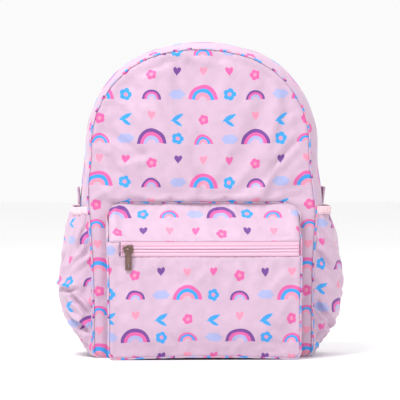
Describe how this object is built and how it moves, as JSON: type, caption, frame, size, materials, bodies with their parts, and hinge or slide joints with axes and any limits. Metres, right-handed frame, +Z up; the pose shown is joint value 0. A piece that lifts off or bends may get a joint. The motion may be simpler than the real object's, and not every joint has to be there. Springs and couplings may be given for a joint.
{
  "type": "school backpack",
  "caption": "Domed child's school backpack with a zipped main compartment, a boxed front pocket with its own zipper, elastic side pockets, a grab handle and padded straps.",
  "frame": {"origin": "middle of the bag's bounding box, on the surface it stands on", "axes": "+Z up, +Y towards the wearer's back, +X to the right as seen from the front"},
  "size_m": [0.3314, 0.188, 0.366],
  "materials": {
    "print_fabric": "woven polyester with an all-over print, slight satin sheen",
    "zip_tape": "woven polyester tape, matte",
    "zip_coil": "moulded polyester coil, satin",
    "zipper_metal": "antique bronze plating, softly worn",
    "elastic": "ribbed elastic binding, matte",
    "webbing": "woven polypropylene webbing, matte",
    "buckle_plastic": "moulded acetal, fine satin",
    "lining": "plain woven polyester lining",
    "mesh": "air mesh",
    "foam": "closed-cell foam sheet inside the fabric",
    "board": "stiffening board",
    "binding_tape": "folded binding tape"
  },
  "bodies": {
    "shell": {"back_panel": "print_fabric", "back_foam": "foam", "back_lining": "lining", "inner_sleeve": "lining", "sleeve_elastic": "elastic", "base_panel": "print_fabric", "base_board": "board", "gusset_rear": "print_fabric", "side_panel_left": "print_fabric", "side_panel_right": "print_fabric", "front_panel": "print_fabric", "front_fold": "print_fabric", "zip_tape_rear": "zip_tape", "zip_coil_rear": "zip_coil", "zip_end_tab_left": "print_fabric", "zip_end_tab_right": "print_fabric", "pocket_panel": "print_fabric", "pocket_gusset": "print_fabric", "pocket_zip_tape_lower": "zip_tape", "pocket_zip_coil_lower": "zip_coil", "side_pocket_left": "print_fabric", "side_pocket_right": "print_fabric", "side_binding_left": "elastic", "side_binding_right": "elastic", "strap_anchor_left": "print_fabric", "strap_anchor_right": "print_fabric", "webbing_left": "webbing", "webbing_right": "webbing", "back_yoke": "print_fabric", "seam_binding_back": "binding_tape", "seam_binding_front": "binding_tape", "pocket_zip_stops": "zip_coil"},
    "flap": {"flap_panel": "print_fabric", "gusset_front": "print_fabric", "zip_tape_front": "zip_tape", "zip_coil_front": "zip_coil", "seam_binding_flap": "binding_tape"},
    "pocket_lid": {"pocket_top": "print_fabric", "pocket_zip_tape_upper": "zip_tape", "pocket_zip_coil_upper": "zip_coil"},
    "slider_left": {"main_slider_left": "zipper_metal"},
    "slider_right": {"main_slider_right": "zipper_metal"},
    "pull_left": {"main_pull_left": "zipper_metal"},
    "pull_right": {"main_pull_right": "zipper_metal"},
    "pocket_slider": {"pocket_slider": "zipper_metal"},
    "pocket_pull": {"pocket_pull": "zipper_metal"},
    "handle": {"handle_loop": "webbing"},
    "strap_left": {"strap_cover_left": "print_fabric", "strap_foam_left": "foam", "strap_mesh_left": "mesh", "strap_binding_left": "binding_tape"},
    "adjuster_left": {"adjuster_left": "buckle_plastic"},
    "tail_left": {"webbing_tail_left": "webbing"},
    "strap_right": {"strap_cover_right": "print_fabric", "strap_foam_right": "foam", "strap_mesh_right": "mesh", "strap_binding_right": "binding_tape"},
    "adjuster_right": {"adjuster_right": "buckle_plastic"},
    "tail_right": {"webbing_tail_right": "webbing"}
  },
  "joints": [
    {"name": "front_opening", "type": "hinge", "parent": "shell", "child": "flap", "pos_m": [0, 0, 0.193], "axis": [1, 0, 0], "range_deg": [0, 40], "deforming": ["front_fold"]},
    {"name": "pocket_opening", "type": "hinge", "parent": "shell", "child": "pocket_lid", "pos_m": [0, -0.0513, 0.1798], "axis": [-1, 0, 0], "range_deg": [0, 30]},
    {"name": "pocket_zip_slide", "type": "slide", "parent": "shell", "child": "pocket_slider", "axis": [1, 0, 0], "range_m": [0, 0.191]},
    {"name": "pocket_pull_swing", "type": "hinge", "parent": "pocket_slider", "child": "pocket_pull", "pos_m": [-0.088, -0.0923, 0.12775], "axis": [-1, 0, 0], "range_deg": [0, 150]},
    {"name": "handle_swing", "type": "hinge", "parent": "shell", "child": "handle", "pos_m": [0, 0.0519, 0.351], "axis": [1, 0, 0], "range_deg": [-12, 140]},
    {"name": "zip_slide_left", "type": "hinge", "parent": "shell", "child": "slider_left", "pos_m": [0, 0, 0.225], "axis": [0, -1, 0], "range_deg": [0, 82]},
    {"name": "zip_pull_swing_left", "type": "hinge", "parent": "slider_left", "child": "pull_left", "pos_m": [-0.0109, 0, 0.36347], "axis": [0.9969, 0, 0.0785], "range_deg": [0, 150]},
    {"name": "strap_swing_left", "type": "hinge", "parent": "shell", "child": "strap_left", "pos_m": [-0.048, 0.0516, 0.339], "axis": [1, 0, 0], "range_deg": [0, 20], "deforming": ["webbing_left"]},
    {"name": "adjuster_tilt_left", "type": "hinge", "parent": "strap_left", "child": "adjuster_left", "pos_m": [-0.092, 0.0556, 0.119], "axis": [1, 0, 0], "range_deg": [0, 35]},
    {"name": "tail_swing_left", "type": "hinge", "parent": "adjuster_left", "child": "tail_left", "pos_m": [-0.092, 0.0574, 0.0945], "axis": [1, 0, 0], "range_deg": [0, 60]},
    {"name": "zip_slide_right", "type": "hinge", "parent": "shell", "child": "slider_right", "pos_m": [0, 0, 0.225], "axis": [0, 1, 0], "range_deg": [0, 82]},
    {"name": "zip_pull_swing_right", "type": "hinge", "parent": "slider_right", "child": "pull_right", "pos_m": [0.0109, 0, 0.36347], "axis": [0.9969, 0, -0.0785], "range_deg": [0, 150]},
    {"name": "strap_swing_right", "type": "hinge", "parent": "shell", "child": "strap_right", "pos_m": [0.048, 0.0516, 0.339], "axis": [1, 0, 0], "range_deg": [0, 20], "deforming": ["webbing_right"]},
    {"name": "adjuster_tilt_right", "type": "hinge", "parent": "strap_right", "child": "adjuster_right", "pos_m": [0.092, 0.0556, 0.119], "axis": [1, 0, 0], "range_deg": [0, 35]},
    {"name": "tail_swing_right", "type": "hinge", "parent": "adjuster_right", "child": "tail_right", "pos_m": [0.092, 0.0574, 0.0945], "axis": [1, 0, 0], "range_deg": [0, 60]}
  ]
}
